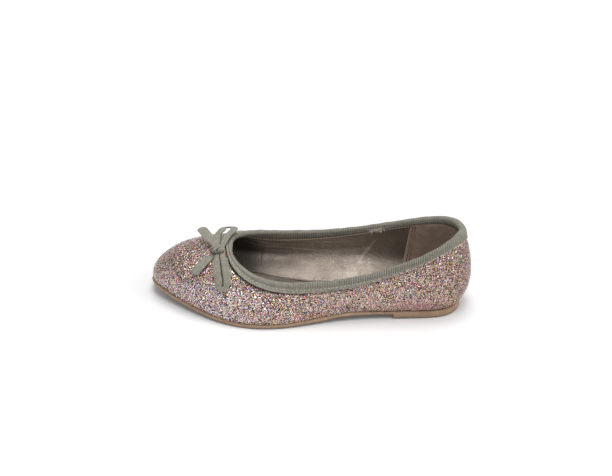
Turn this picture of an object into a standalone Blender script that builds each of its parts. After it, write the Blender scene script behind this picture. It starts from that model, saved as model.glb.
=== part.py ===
"""Ballet flat, left shoe: glitter upper on a thin moulded sole, with a bound topline and a tied bow.

Metres, +Z up. The toe points along -X, the heel along +X, the outer (lateral) side along -Y. The shoe stands
on z = 0 and its box is centred on the Z axis. Everything is worked out from the sizes of the last: the feather
edge where upper and sole meet, the topline, and one curved rib between them at every place around the shoe.
"""
import bpy
import bmesh
import numpy as np
from math import radians
from mathutils import Vector
from mathutils.bvhtree import BVHTree

MM = 0.001
SHOE = "ballet_flat_left"

# Driving sizes of the last
LENGTH = 242 * MM
BALL_WIDTH = 82 * MM
INSTEP = 43.8 * MM
BACK_HEIGHT = 65.5 * MM

# Walls and clearances
WALL = 1.8 * MM
GAP = 0.3 * MM
TAPE = 1.0 * MM
INNER_LEAF = 5 * MM
SOLE_REACH = 0.8 * MM
SOLE_CHAMFER = 1.0 * MM
INSOLE_INSET = 3.4 * MM
INSOLE_THICK = 2.8 * MM
BOW_TAPE = 0.6 * MM

# How finely the forms are cut
AROUND_STEPS = 112
WALL_STEPS = 11
CAP_STEPS = 4
HEEL_STATIONS = 14
FORE_STATIONS = 36

# Ribs around the shoe. Along: share of LENGTH from the back; side: share of BALL_WIDTH, lateral negative.
# The feather edge and the topline each have a place, and the two handles bend the rib between them:
# low_out and low_up leave the feather edge, high_out and high_down leave the topline (mm).
# leaf is the width of the binding on the outside (mm).
RIBS = [
    # rib            feather        topline        height               low        high      leaf
    #                along  side    along  side                         out  up    out down
    ("back",         .037,  .000,   .027,  .000,   .985 * BACK_HEIGHT,  14,  12,    6,  18,  6.0),
    ("heel_lat",     .064, -.200,   .055, -.150,   .972 * BACK_HEIGHT,  12,  12,    6,  17,  6.0),
    ("heelside_lat", .150, -.282,   .135, -.262,   .842 * BACK_HEIGHT,   9,  12,    5,  15,  6.4),
    ("waist_lat",    .300, -.328,   .290, -.335,   .635 * BACK_HEIGHT,   6,  11,    3,  12,  6.8),
    ("joint_lat",    .460, -.435,   .455, -.400,   .778 * INSTEP,        3,  11,    3,  11,  6.8),
    ("ball_lat",     .622, -.548,   .605, -.405,   .766 * INSTEP,        3,  11,    5,  11,  6.6),
    ("toeside_lat",  .775, -.470,   .700, -.305,   .875 * INSTEP,        3,  14,   14,  10,  5.6),
    ("toe_lat",      .920, -.212,   .743, -.155,   .965 * INSTEP,        3,  18,   26,   7,  3.5),
    ("toe",          1.00,  .050,   .754,  .005,  1.000 * INSTEP,        3,  20,   31,   5,  2.7),
    ("toe_med",      .950,  .335,   .748,  .165,   .987 * INSTEP,        3,  19,   28,   6,  4.0),
    ("toeside_med",  .805,  .480,   .706,  .318,   .920 * INSTEP,        3,  15,   14,  10,  5.6),
    ("ball_med",     .650,  .475,   .625,  .395,   .852 * INSTEP,        3,  12,    5,  12,  6.6),
    ("joint_med",    .480,  .365,   .465,  .390,   .905 * INSTEP,        5,  12,    4,  13,  6.8),
    ("waist_med",    .310,  .285,   .295,  .330,   .755 * BACK_HEIGHT,   8,  12,    4,  15,  6.8),
    ("heelside_med", .150,  .280,   .135,  .270,   .920 * BACK_HEIGHT,   9,  12,    4,  17,  6.4),
    ("heel_med",     .064,  .200,   .055,  .165,   .978 * BACK_HEIGHT,  12,  12,    5,  18,  6.0),
]
TOE_RIB = 8

# The sole's side view: share of LENGTH from the back, height of the underside and of the top (mm).
# The heel's breast is given as a share of the sole's own length.
BREAST = .21
SOLE_PROFILE = [
    # place        along  under   top
    ("heel_end",    .02,   2.4,   5.9),
    ("breast",      .24,   3.3,   6.2),
    ("waist",       .37,   4.0,   7.0),
    ("fore_arch",   .48,   1.5,   4.8),
    ("tread_start", .58,   0.0,   3.0),
    ("tread_end",   .72,   0.0,   3.0),
    ("toe_roll",    .88,   3.3,   6.3),
    ("toe_end",    1.01,   8.4,  11.0),
]

# The bow, in mm from the middle of its knot: forward is towards the toe, out towards the lateral side
KNOT_ALONG = .784
KNOT_SIDE = -.105
KNOT_HALF = (5.8, 4.6, 2.1)
KNOT_LIFT = 4.7
LOOP_LATERAL = [
    # out    toe_leg  heel_leg  lift  width
    (2.6,     0.8,    -3.6,     1.6,  4.0),
    (7.4,     1.5,    -4.1,     1.6,  5.0),
    (12.6,    0.9,    -5.4,     1.3,  5.6),
    (18.0,   -0.5,    -6.8,     1.0,  5.9),
    (22.9,   -1.8,    -8.0,     0.8,  5.9),
]
LOOP_MEDIAL = [
    (-2.6,    1.2,    -3.4,     1.6,  4.0),
    (-10.0,   2.8,    -4.0,     2.9,  5.0),
    (-17.0,   2.2,    -5.4,     4.6,  5.6),
    (-22.6,   0.2,    -7.0,     5.9,  6.0),
    (-26.6,  -1.6,    -8.0,     6.4,  6.2),
]
TAIL_LATERAL = [
    # forward  out   lift  width
    (4.0,      0.8,  0.3,  4.4),
    (7.8,      5.2,  0.7,  6.2),
    (12.4,    10.2,  1.8,  7.2),
    (16.6,    14.2,  3.0,  7.4),
]
TAIL_MEDIAL = [
    (2.8,     -2.0,  0.3,  4.4),
    (7.2,    -10.6,  1.4,  6.4),
    (11.2,   -18.6,  4.6,  7.4),
    (14.2,   -26.0,  8.8,  7.6),
]

# Colours (linear) and surface of each material: colour, roughness, metallic
FINISH = {
    "glitter": ((.31, .23, .20), .45, .25),
    "tape": ((.25, .23, .19), .85, .0),
    "sole": ((.30, .19, .12), .60, .0),
    "sock": ((.20, .17, .14), .40, .3),
}


# Curves

def closed_spline(rows, at):
    """Smooth closed curve through the rows, read at the row numbers in at (periodic cubic spline)."""
    rows = np.asarray(rows, float)
    count = len(rows)
    before, after = np.roll(rows, 1, 0), np.roll(rows, -1, 0)
    links = 4 * np.eye(count) + np.roll(np.eye(count), 1, 0) + np.roll(np.eye(count), -1, 0)
    bend = np.linalg.solve(links, 6 * (after - 2 * rows + before))
    low = np.floor(at).astype(int) % count
    high = (low + 1) % count
    right = (at - np.floor(at))[..., None]
    left = 1 - right
    curve = left * rows[low] + right * rows[high]
    return curve + ((left**3 - left) * bend[low] + (right**3 - right) * bend[high]) / 6


def level_spline(places, values, at):
    """Smooth curve through the values that never overshoots them (monotone cubic)."""
    places, values = np.asarray(places, float), np.asarray(values, float)
    rise = np.diff(values) / np.diff(places)
    same_way = rise[:-1] * rise[1:] > 0
    inner = np.where(same_way, 2 * rise[:-1] * rise[1:] / np.where(same_way, rise[:-1] + rise[1:], 1), 0)
    slope = np.concatenate([rise[:1], inner, rise[-1:]])
    low = np.clip(np.searchsorted(places, at) - 1, 0, len(places) - 2)
    span = places[low + 1] - places[low]
    part = (at - places[low]) / span
    rest = 1 - part
    ends = (1 + 2 * part) * rest**2 * values[low] + (1 + 2 * rest) * part**2 * values[low + 1]
    return ends + span * part * rest * (rest * slope[low] - part * slope[low + 1])


def smooth_rows(rows, steps):
    """Rows of a small table carried through a level spline, so that many rows lie between them."""
    rows = np.asarray(rows, float)
    at = np.linspace(0, len(rows) - 1, steps)
    return np.stack([level_spline(range(len(rows)), column, at) for column in rows.T], -1)


# The last

def x_of(along):
    return (0.5 - along) * LENGTH


def sole_height(along, column):
    """Height of the sole's underside (column 2) or top (column 3) at a share of the length."""
    return level_spline([row[1] for row in SOLE_PROFILE], [row[column] for row in SOLE_PROFILE], along) * MM


RIB_VALUES = np.array([row[1:] for row in RIBS])


def outline(around):
    """Feather edge in plan: its points, its share of the length, and the way out from the shoe."""
    along, side = np.moveaxis(closed_spline(RIB_VALUES[:, :2], around), -1, 0)
    step = 0.02
    ahead = closed_spline(RIB_VALUES[:, :2], around + step)
    behind = closed_spline(RIB_VALUES[:, :2], around - step)
    run = (ahead - behind) * (-LENGTH, BALL_WIDTH)
    run /= np.linalg.norm(run, axis=-1, keepdims=True)
    out = np.stack([-run[..., 1], run[..., 0], 0 * along], -1)
    return np.stack([x_of(along), side * BALL_WIDTH, 0 * along], -1), along, out


def rib_points(around):
    """The four points of each rib's cubic: feather edge, low handle, high handle and topline."""
    values = np.moveaxis(closed_spline(RIB_VALUES[:, 2:9], around), -1, 0)
    top_along, top_side, top_height, low_out, low_up, high_out, high_down = values
    feather, along, out = outline(around)
    feather[..., 2] = sole_height(along, 3) + GAP
    top = np.stack([x_of(top_along), top_side * BALL_WIDTH, top_height], -1)
    up = np.array([0, 0, 1])
    low = feather + out * (low_out * MM)[..., None] + up * (low_up * MM)[..., None]
    high = top + out * (high_out * MM)[..., None] - up * (high_down * MM)[..., None]
    return feather, low, high, top


def wall(around, rise):
    """Outside of the upper: rise 0 at the feather edge, 1 at the topline."""
    feather, low, high, top = rib_points(around)
    part = rise[..., None]
    rest = 1 - part
    return rest**3 * feather + 3 * rest**2 * part * low + 3 * rest * part**2 * high + part**3 * top


def wall_frame(around, rise):
    """Wall points with the unit directions out of the wall and up along it."""
    step = 0.004
    run = wall(around + step, rise) - wall(around - step, rise)
    climb = wall(around, rise + step) - wall(around, rise - step)
    climb /= np.linalg.norm(climb, axis=-1, keepdims=True)
    out = np.cross(climb, run)
    out /= np.linalg.norm(out, axis=-1, keepdims=True)
    return wall(around, rise), out, climb


# Meshes

def add_object(name, verts, faces, finish):
    """A named object of the given faces, smooth but for its hard edges, with its own material."""
    mesh = bpy.data.meshes.new(name)
    mesh.from_pydata(np.asarray(verts).reshape(-1, 3).tolist(), [], faces)
    mesh.shade_smooth()
    mesh.set_sharp_from_angle(angle=radians(40))
    obj = bpy.data.objects.new(name, mesh)
    shoe.objects.link(obj)
    obj.parent = root
    material = bpy.data.materials.new(name)
    material.use_nodes = True
    shader = material.node_tree.nodes["Principled BSDF"]
    colour, roughness, metallic = FINISH[finish]
    shader.inputs["Base Color"].default_value = (*colour, 1)
    shader.inputs["Roughness"].default_value = roughness
    shader.inputs["Metallic"].default_value = metallic
    mesh.materials.append(material)
    return obj


def grid_faces(rows, columns, wrap_rows=False, wrap_columns=False):
    """Quads over a grid of rows by columns, facing along (column step) x (row step)."""
    row, column = np.meshgrid(
        np.arange(rows if wrap_rows else rows - 1),
        np.arange(columns if wrap_columns else columns - 1), indexing="ij")
    row, column = row.ravel(), column.ravel()
    next_row, next_column = (row + 1) % rows, (column + 1) % columns
    corners = [(row, column), (row, next_column), (next_row, next_column), (next_row, column)]
    return np.stack([r * columns + c for r, c in corners], -1).tolist()


def shell(name, points, thickness, finish, ring):
    """An open surface made a wall: thickness is added on the side its faces point to, or taken inward."""
    obj = add_object(name, points, grid_faces(*points.shape[:2], wrap_rows=ring), finish)
    solidify = obj.modifiers.new("wall", "SOLIDIFY")
    solidify.thickness = abs(thickness)
    solidify.offset = 1 if thickness > 0 else -1
    solidify.use_even_offset = True
    return obj


def loft(name, sections, finish):
    """A closed solid through a row of closed sections, with flat ends."""
    rows, columns = sections.shape[:2]
    faces = grid_faces(rows, columns, wrap_columns=True)
    faces += [list(range(columns)), list(range((rows - 1) * columns, rows * columns))]
    obj = add_object(name, sections, faces, finish)
    body = bmesh.new()
    body.from_mesh(obj.data)
    bmesh.ops.recalc_face_normals(body, faces=body.faces)
    body.to_mesh(obj.data)
    body.free()
    return obj


# Pieces

def upper():
    """One hollow wall from the feather edge to the topline, thickened inward."""
    around, rise = np.meshgrid(AROUND, np.linspace(0, 1, WALL_STEPS), indexing="ij")
    return shell("upper", wall(around, rise), -WALL, "glitter", ring=True)


def topline_binding():
    """Tape folded over the topline: outer leaf, a round cap over the wall's edge, inner leaf."""
    leaf = closed_spline(RIB_VALUES[:, 9:10], AROUND)[:, 0] * MM
    _, _, high, top = rib_points(AROUND)
    climb_per_rise = 3 * np.linalg.norm(top - high, axis=-1)
    strips = []
    for share in (1, .5, 0):
        point, out, _ = wall_frame(AROUND, 1 - share * leaf / climb_per_rise)
        strips.append(point + GAP * out)
    point, out, climb = wall_frame(AROUND, np.ones_like(AROUND))
    middle = point - WALL / 2 * out
    for turn in np.linspace(0, np.pi, CAP_STEPS + 1)[1:-1]:
        strips.append(middle + (WALL / 2 + GAP) * (np.cos(turn) * out + np.sin(turn) * climb))
    for share in (0, 1):
        point, out, _ = wall_frame(AROUND, 1 - share * INNER_LEAF / climb_per_rise)
        strips.append(point - (WALL + GAP) * out)
    return shell("topline_binding", np.stack(strips, 1), TAPE, "tape", ring=True)


def edge_sides(reach):
    """Lateral and medial edge of the feather outline moved out by reach, as dense (x, y) curves."""
    sides = []
    for start, end in ((0, TOE_RIB), (len(RIBS), TOE_RIB)):
        points, _, out = outline(np.linspace(start, end, 400))
        edge = points + reach * out
        order = np.argsort(edge[:, 0])
        sides.append(edge[order, :2])
    return sides


def edge_at(reach, stations):
    """Edge points at stations, each a share 0 to 1 of the moved outline's own length from the back."""
    lateral, medial = edge_sides(reach)
    back, toe = lateral[-1, 0], lateral[0, 0]
    x = back + (toe - back) * stations
    return x, np.interp(x, *lateral.T), np.interp(x, *medial.T)


def stations():
    """Shares from back to toe, close together at both round ends, with the heel's breast given twice."""
    end_trim = .11
    heel = BREAST * (1 - np.cos(np.linspace(end_trim, np.pi / 2, HEEL_STATIONS)))
    fore = BREAST + (1 - BREAST) * np.sin(np.linspace(0, np.pi / 2 - end_trim / 2, FORE_STATIONS))
    return np.concatenate([heel, fore]), np.arange(len(heel) + len(fore)) < len(heel)


def outsole():
    """Moulded unit: flat forefoot tread, toe spring, arched waist, and a heel block with an upright breast."""
    share, in_heel = stations()
    chains = []
    for reach, column, lift in ((SOLE_REACH, 3, 0), (SOLE_REACH, 2, SOLE_CHAMFER), (-SOLE_CHAMFER / 2, 2, 0)):
        x, lateral, medial = edge_at(reach, share)
        height = sole_height(0.5 - x / LENGTH, column)
        if column == 2:
            height = np.where(in_heel, 0, height) + lift
        chains.append((np.stack([x, lateral, height], -1), np.stack([x, medial, height], -1)))
    lateral_side = [chain[0] for chain in chains]
    medial_side = [chain[1] for chain in reversed(chains)]
    tread_middle = [(lateral_side[-1] + medial_side[0]) / 2]
    top_middle = [(lateral_side[0] + medial_side[-1]) / 2]
    sections = np.stack(lateral_side + tread_middle + medial_side + top_middle, 1)
    return loft("outsole", sections, "sole")


def insole():
    """Sock pad on the outsole's top, inside the upper's wall."""
    share, _ = stations()
    chains = []
    for inset, lift in ((INSOLE_INSET, GAP), (INSOLE_INSET, INSOLE_THICK - MM), (INSOLE_INSET + MM, INSOLE_THICK)):
        x, lateral, medial = edge_at(-inset, share)
        height = sole_height(0.5 - x / LENGTH, 3) + lift
        chains.append((np.stack([x, lateral, height], -1), np.stack([x, medial, height], -1)))
    sections = np.stack([chain[0] for chain in chains] + [chain[1] for chain in reversed(chains)], 1)
    breast_pair = HEEL_STATIONS
    return loft("insole", np.delete(sections, breast_pair, 0), "sock")


def vamp_ground():
    """Reads the vamp from above: a function of forward and out (mm from the knot) to point and normal."""
    around, rise = np.meshgrid(np.linspace(4, 12, 161), np.linspace(0, 1, 61), indexing="ij")
    tree = BVHTree.FromPolygons(wall(around, rise).reshape(-1, 3).tolist(), grid_faces(*around.shape))

    def ground(forward, out):
        spot = Vector((x_of(KNOT_ALONG) - forward * MM, KNOT_SIDE * BALL_WIDTH - out * MM, LENGTH))
        point, normal, _, _ = tree.ray_cast(spot, Vector((0, 0, -1)))
        return np.array(point), np.array(normal) * (1 if normal.z > 0 else -1)
    return ground


def ribbon(name, path, ground):
    """Flat tape along a path of rows (forward, out, lift, width), lying over the vamp."""
    ground_points, ups = (np.array(side) for side in zip(*(ground(row[0], row[1]) for row in path)))
    middle = ground_points + ups * path[:, 2:3] * MM
    run = np.gradient(middle, axis=0)
    across = np.cross(run, ups)
    across /= np.linalg.norm(across, axis=-1, keepdims=True)
    half = across * path[:, 3:4] * MM / 2
    return shell(name, np.stack([middle - half, middle, middle + half], 1), BOW_TAPE, "tape", ring=False)


def loop_path(rows):
    """A petal: out along the toe-side leg, round a half circle, and back along the heel-side leg."""
    rows = smooth_rows(rows, 12)
    out, toe_leg, heel_leg, lift, width = rows.T
    way = np.sign(out[-1])
    there = np.stack([toe_leg, out, lift, width], -1)
    back = np.stack([heel_leg, out, lift, width], -1)[::-1]
    radius = (toe_leg[-1] - heel_leg[-1]) / 2
    turn = np.linspace(0, np.pi, 9)[1:-1]
    tip = np.stack([heel_leg[-1] + radius * (1 + np.cos(turn)), out[-1] + way * radius * np.sin(turn),
                    np.full_like(turn, lift[-1]), np.full_like(turn, width[-1])], -1)
    return np.concatenate([there, tip, back])


def bow():
    """Two loops and two tails of narrow tape, gathered under a knot."""
    ground = vamp_ground()
    for name, rows in (("bow_loop_lateral", LOOP_LATERAL), ("bow_loop_medial", LOOP_MEDIAL)):
        ribbon(name, loop_path(rows), ground)
    for name, rows in (("bow_tail_lateral", TAIL_LATERAL), ("bow_tail_medial", TAIL_MEDIAL)):
        ribbon(name, smooth_rows(rows, 12), ground)
    point, up = ground(0, 0)
    body = bmesh.new()
    bmesh.ops.create_uvsphere(body, u_segments=20, v_segments=10, radius=1)
    for vert in body.verts:
        box = vert.co / max(abs(axis) for axis in vert.co)
        soft = vert.co.lerp(box, 0.25)
        vert.co = Vector(soft[axis] * KNOT_HALF[axis] * MM for axis in range(3)) + Vector(point + up * KNOT_LIFT * MM)
    knot = add_object("bow_knot", [], [], "tape")
    body.to_mesh(knot.data)
    body.free()
    knot.data.shade_smooth()


for old in list(bpy.data.objects):
    bpy.data.objects.remove(old)

shoe = bpy.data.collections.new(SHOE)
bpy.context.scene.collection.children.link(shoe)
root = bpy.data.objects.new(SHOE + "_root", None)
shoe.objects.link(root)

AROUND = np.arange(AROUND_STEPS) * len(RIBS) / AROUND_STEPS

outsole()
insole()
upper()
topline_binding()
bow()

# The box of sole and upper is centred on the Z axis
bpy.context.view_layer.update()
graph = bpy.context.evaluated_depsgraph_get()
corners = np.array([corner for obj in shoe.objects if obj.type == "MESH"
                    for corner in obj.evaluated_get(graph).bound_box])
root.location.xy = -(corners.min(0) + corners.max(0))[:2] / 2
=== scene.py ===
"""Looks of the left ballet flat: glitter upper, pewter lining, ribbed binding, tied bow and moulded sole.

Metres, in the frame of the solids: +Z up, the toe along -X, the lateral side along -Y. Every piece is worked
out from the sizes of the last, so that it lies where its solid lies. Around the shoe, places are counted in
ribs of the last: 0 at the back, 4 at the lateral joint, 8 at the toe, 12 at the medial joint. Rise runs up
the wall from the feather edge (0) to the topline (1).
"""
from math import cos, pi, radians, sin

import bmesh
import bpy
import numpy as np
from mathutils import Matrix, Vector


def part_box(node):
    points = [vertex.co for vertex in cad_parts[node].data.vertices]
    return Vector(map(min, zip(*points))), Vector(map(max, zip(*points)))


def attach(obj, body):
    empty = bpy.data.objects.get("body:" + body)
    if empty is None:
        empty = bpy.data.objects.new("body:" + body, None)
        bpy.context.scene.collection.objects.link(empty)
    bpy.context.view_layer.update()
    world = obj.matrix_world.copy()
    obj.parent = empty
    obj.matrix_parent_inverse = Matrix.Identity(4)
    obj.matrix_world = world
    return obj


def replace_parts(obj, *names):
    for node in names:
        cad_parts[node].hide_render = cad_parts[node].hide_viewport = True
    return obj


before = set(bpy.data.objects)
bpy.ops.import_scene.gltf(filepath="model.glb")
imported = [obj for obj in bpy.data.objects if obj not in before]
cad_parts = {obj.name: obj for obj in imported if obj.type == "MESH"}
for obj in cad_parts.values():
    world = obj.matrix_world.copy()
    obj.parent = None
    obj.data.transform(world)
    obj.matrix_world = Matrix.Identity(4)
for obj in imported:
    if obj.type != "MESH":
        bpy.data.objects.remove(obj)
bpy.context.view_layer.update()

MM = 0.001

# Driving sizes of the last
LENGTH = 242 * MM
BALL_WIDTH = 82 * MM
INSTEP = 43.8 * MM
BACK_HEIGHT = 65.5 * MM

# Walls and clearances
WALL = 1.8 * MM
GAP = 0.3 * MM
CLOTH = 1.0 * MM
LINING = 0.6 * MM
INSOLE_INSET = 3.4 * MM
INSOLE_THICK = 2.8 * MM

# Ribs around the shoe. Along: share of LENGTH from the back; side: share of BALL_WIDTH, lateral negative.
# The feather edge and the topline each have a place, and the two handles bend the rib between them (mm).
# leaf and inner: width of the binding outside and inside; flap: reach of the lining over the insole (mm).
RIBS = [
    # rib            feather        topline        height               low        high      leaf flap inner
    #                along  side    along  side                         out  up    out down
    ("back",         .037,  .000,   .027,  .000,   .985 * BACK_HEIGHT,  14,  12,    6,  18,  6.0,   5,  5.0),
    ("heel_lat",     .064, -.200,   .055, -.150,   .972 * BACK_HEIGHT,  12,  12,    6,  17,  6.0,   5,  5.0),
    ("heelside_lat", .150, -.282,   .135, -.262,   .842 * BACK_HEIGHT,   9,  12,    5,  15,  6.4,   5,  5.0),
    ("waist_lat",    .300, -.328,   .290, -.335,   .635 * BACK_HEIGHT,   6,  11,    3,  12,  6.8,   5,  5.0),
    ("joint_lat",    .460, -.435,   .455, -.400,   .778 * INSTEP,        3,  11,    3,  11,  6.8,   5,  5.0),
    ("ball_lat",     .622, -.548,   .605, -.405,   .766 * INSTEP,        3,  11,    5,  11,  6.6,   6,  5.0),
    ("toeside_lat",  .775, -.470,   .700, -.305,   .875 * INSTEP,        3,  14,   14,  10,  5.6,   8,  5.0),
    ("toe_lat",      .920, -.212,   .743, -.155,   .965 * INSTEP,        3,  18,   26,   7,  3.5,   8,  5.0),
    ("toe",          1.00,  .050,   .754,  .005,  1.000 * INSTEP,        3,  20,   31,   5,  2.7,   8,  5.0),
    ("toe_med",      .950,  .335,   .748,  .165,   .987 * INSTEP,        3,  19,   28,   6,  4.0,   9,  5.4),
    ("toeside_med",  .805,  .480,   .706,  .318,   .920 * INSTEP,        3,  15,   14,  10,  5.6,  13,  6.6),
    ("ball_med",     .650,  .475,   .625,  .395,   .852 * INSTEP,        3,  12,    5,  12,  6.6,  19,  6.2),
    ("joint_med",    .480,  .365,   .465,  .390,   .905 * INSTEP,        5,  12,    4,  13,  6.8,  21,  4.6),
    ("waist_med",    .310,  .285,   .295,  .330,   .755 * BACK_HEIGHT,   8,  12,    4,  15,  6.8,  18,  3.2),
    ("heelside_med", .150,  .280,   .135,  .270,   .920 * BACK_HEIGHT,   9,  12,    4,  17,  6.4,   9,  3.4),
    ("heel_med",     .064,  .200,   .055,  .165,   .978 * BACK_HEIGHT,  12,  12,    5,  18,  6.0,   6,  5.0),
]
RIB_VALUES = np.array([row[1:] for row in RIBS])
LEAF_WIDTH, FLAP_REACH, INNER_WIDTH = RIB_VALUES[:, 9:].T
TOE_RIB = 8

# The sole's side view: share of LENGTH from the back, height of the underside and of the top (mm).
# The heel's breast is given as a share of the sole's own length.
BREAST = .21
SOLE_PROFILE = [
    # place        along  under   top
    ("heel_end",    .02,   2.4,   5.9),
    ("breast",      .24,   3.3,   6.2),
    ("waist",       .37,   4.0,   7.0),
    ("fore_arch",   .48,   1.5,   4.8),
    ("tread_start", .58,   0.0,   3.0),
    ("tread_end",   .72,   0.0,   3.0),
    ("toe_roll",    .88,   3.3,   6.3),
    ("toe_end",    1.01,   8.4,  11.0),
]
UNDER, TOP = 2, 3

# The bow, in mm from the middle of its knot: forward is towards the toe, out towards the lateral side
KNOT_ALONG = .784
KNOT_SIDE = -.105
KNOT_HALF = (5.5, 3.3, 2.2)
KNOT_LIFT = 4.9
BOW_TAPE = 0.9
TIP_WIDTH = 4.0
LOOP_LATERAL = [
    # out    toe_leg  heel_leg  lift  width
    (1.6,    -0.4,    -2.4,     1.8,  2.4),
    (5.0,     0.7,    -3.2,     1.9,  3.7),
    (9.5,     0.7,    -5.0,     1.6,  5.5),
    (14.0,    0.2,    -6.2,     1.3,  6.2),
    (18.5,   -0.9,    -7.3,     1.0,  6.2),
    (21.7,   -2.0,    -8.1,     0.8,  6.0),
]
LOOP_MEDIAL = [
    (-1.6,    0.9,    -1.9,     1.8,  2.6),
    (-6.0,    1.9,    -2.4,     2.2,  4.2),
    (-12.0,   1.9,    -3.9,     3.0,  5.6),
    (-17.0,   2.2,    -5.8,     3.8,  5.8),
    (-20.5,   1.2,    -8.0,     4.6,  6.0),
    (-23.5,  -0.6,    -9.8,     5.0,  6.0),
]
TAIL_LATERAL = [
    # forward  out   lift  width
    (3.2,      0.2,  0.5,  3.8),
    (7.8,      5.2,  0.7,  6.6),
    (12.4,    10.2,  1.6,  7.8),
    (16.6,    14.2,  2.6,  8.0),
]
TAIL_MEDIAL = [
    (-0.6,    -1.6,  3.4,  4.2),
    (5.0,    -10.2,  4.8,  6.6),
    (10.2,   -18.6,  6.4,  7.6),
    (14.6,   -26.6,  8.0,  8.0),
]

# Section of the binding outside, from under its free edge up to the topline: share of the leaf below the
# topline and height over the wall (mm)
FLANGE = [
    # share  height
    (0.66,  -0.15),
    (0.86,   0.05),
    (0.97,   0.30),
    (1.00,   0.55),
    (0.985,  0.80),
    (0.93,   0.90),
    (0.75,   0.84),
    (0.56,   0.84),
    (0.40,   0.78),
    (0.33,   0.74),
    (0.27,   0.90),
    (0.17,   1.25),
    (0.07,   1.38),
    (0.00,   1.32),
]
# Points of that section once it is smoothed, and how many of them lie under the free edge
FLANGE_ROWS = 30
FLANGE_FOOT = 8
# Lift of the flange's free edge (mm) by rib: it curls up around the throat
EDGE_LIFT = (.0, .0, .0, .0, .3, .9, 1.4, 1.2, .6, .9, .8, .3, .0, .0, .0, .0)
# Strength of the ribs: stretched flat around the throat
RIB_STRENGTH = (.5, .7, 1, .95, .75, .35, .3, .4, .45, .45, .45, .5, .6, .7, .7, .5)
# Share of the leaf that the ribbed roll covers, by rib: the flange only shows around the throat
ROLL_REACH = (.84, .76, .64, .55, .42, .33, .32, .32, .32, .32, .32, .33, .42, .55, .64, .76)
# Share of the flange's cells with glitter in them, by rib
WORN_FLANGE = (1, 1, .9, .12, .05, 0, 0, 0, 0, 0, 0, 0, .05, .12, .9, 1)
# How dark the painted shadow line under its free edge is, by rib
EDGE_SHADE = (.2, .2, .2, .25, .4, .85, 1.0, 1.0, .7, .8, .7, .5, .3, .2, .2, .2)
# How far the roll sits down over the wall's edge (mm) by rib
ROLL_DROP = (.0, .5, .9, 1.3, .6, .8, .3, .0, .0, .0, .0, .0, .0, .0, .0, .0)
# Thickness of the inner leaf (mm), padded at the back, and the painted shade on its lower half, by rib
INNER_HEIGHT = (2.4, 1.9, 1.3, 1.1, 1.1, 1.1, 1.1, 1.1, 1.1, 1.1, 1.1, 1.1, 1.1, 1.1, 1.3, 1.9)
INNER_SHADE = (.85, .8, .7, .4, .2, .1, .1, .1, .1, .1, .0, .0, .0, .1, .35, .7)
# Ribs of the tape, and the row of stitches that draws its flange down
RIB_PITCH = 1.8 * MM
RIB_HEIGHT = 0.20 * MM
RIB_STEPS = 6
STITCH_SHARE = .58
STITCH_PITCH = 3.0 * MM
STITCH_PULL = .30 * MM
# Slow waves of the tape: length along the topline (mm), no slant, start (turns) and height (mm)
BINDING_WAVES = [(9.7, 1e6, .2, .06), (14.3, 1e6, .7, .08), (31, 1e6, .1, .08)]

# Creases of the upper and of the lining: rib number, mm below the topline, half length and half width along
# the wall (mm), height (mm, troughs negative), and how far the crease is turned from level (degrees)
UPPER_CREASES = [
    # crease            rib    drop  half_length half_width height turn
    ("vamp_flex",        8.0,   20,  24,         6.0,       -0.45,   0),
    ("flex_lateral",     5.5,   20,  14,         4.5,       -0.40,  62),
    ("flex_lateral_low", 5.9,   24,  12,         4.0,        0.30,  55),
    ("flex_medial",     10.6,   20,  14,         4.5,       -0.40, -62),
    ("toe_puff_edge",    8.0,   44,  30,         6.0,        0.35,   0),
    ("quarter_sag",      3.4,   20,  28,         6.0,       -0.35,   4),
    ("heel_dent",        2.2,   36,  11,         5.0,       -0.55, -10),
    ("counter_lat",      2.5,   26,  16,         4.0,        0.30,  78),
    ("counter_med",     13.5,   30,  18,         4.0,        0.30, -78),
]
LINING_CREASES = [
    # crease            rib    drop  half_length half_width height turn
    ("throat_1",        10.6,    8,  19,         0.8,        0.60,  -3),
    ("throat_2",        10.9,   10,  22,         0.9,       -0.60,  -1),
    ("throat_3",        10.7,   12,  18,         0.8,        0.65,   2),
    ("throat_4",        11.1,   14,  24,         1.0,       -0.55,   1),
    ("throat_5",        10.8,   16,  16,         0.9,        0.60,  -4),
    ("throat_6",        11.0,   18,  18,         1.0,       -0.50,  -2),
    ("arc_seam",        10.9,   22,  10,         0.9,        0.55,  80),
    ("top_tuck",        11.7,    8,  30,         0.7,        0.45,   4),
    ("cross_pull",      12.84,  21,  11,         1.0,        0.40, -58),
    ("waist_fold",      12.3,   16,  26,         2.2,       -0.40,   3),
    ("arch_fold",       11.8,   22,  30,         3.0,        0.45,   0),
    ("lateral_fold",     4.4,   14,  26,         2.0,       -0.40,   2),
]
# Rise at which the lining leaves the wall to turn onto the insole, by rib
LINING_TURN = (.34, .32, .32, .32, .32, .32, .32, .32, .33, .36, .41, .43, .44, .48, .42, .36)
# Join of the binding: its middle and half length, in ribs
JOIN_RIB = 13.06
JOIN_HALF = .135
# Front edge of the heel lining at the topline and at the insole, in ribs
HEEL_EDGE_TOP = 2.395
HEEL_EDGE_LOW = 2.455

# The photo's view: degrees round from the lateral side and above the floor, distance (m), focal length in
# pixels, and the pixel where the middle of the last's floor line shows
PHOTO_SIZE = (612, 476)
AZIMUTH = 3.5
ELEVATION = 32
DISTANCE = 1.7
FOCAL_PIXELS = 2228
ORIGIN_PIXEL = (311, 297)
SENSOR_MM = 36


# Curves

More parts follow.
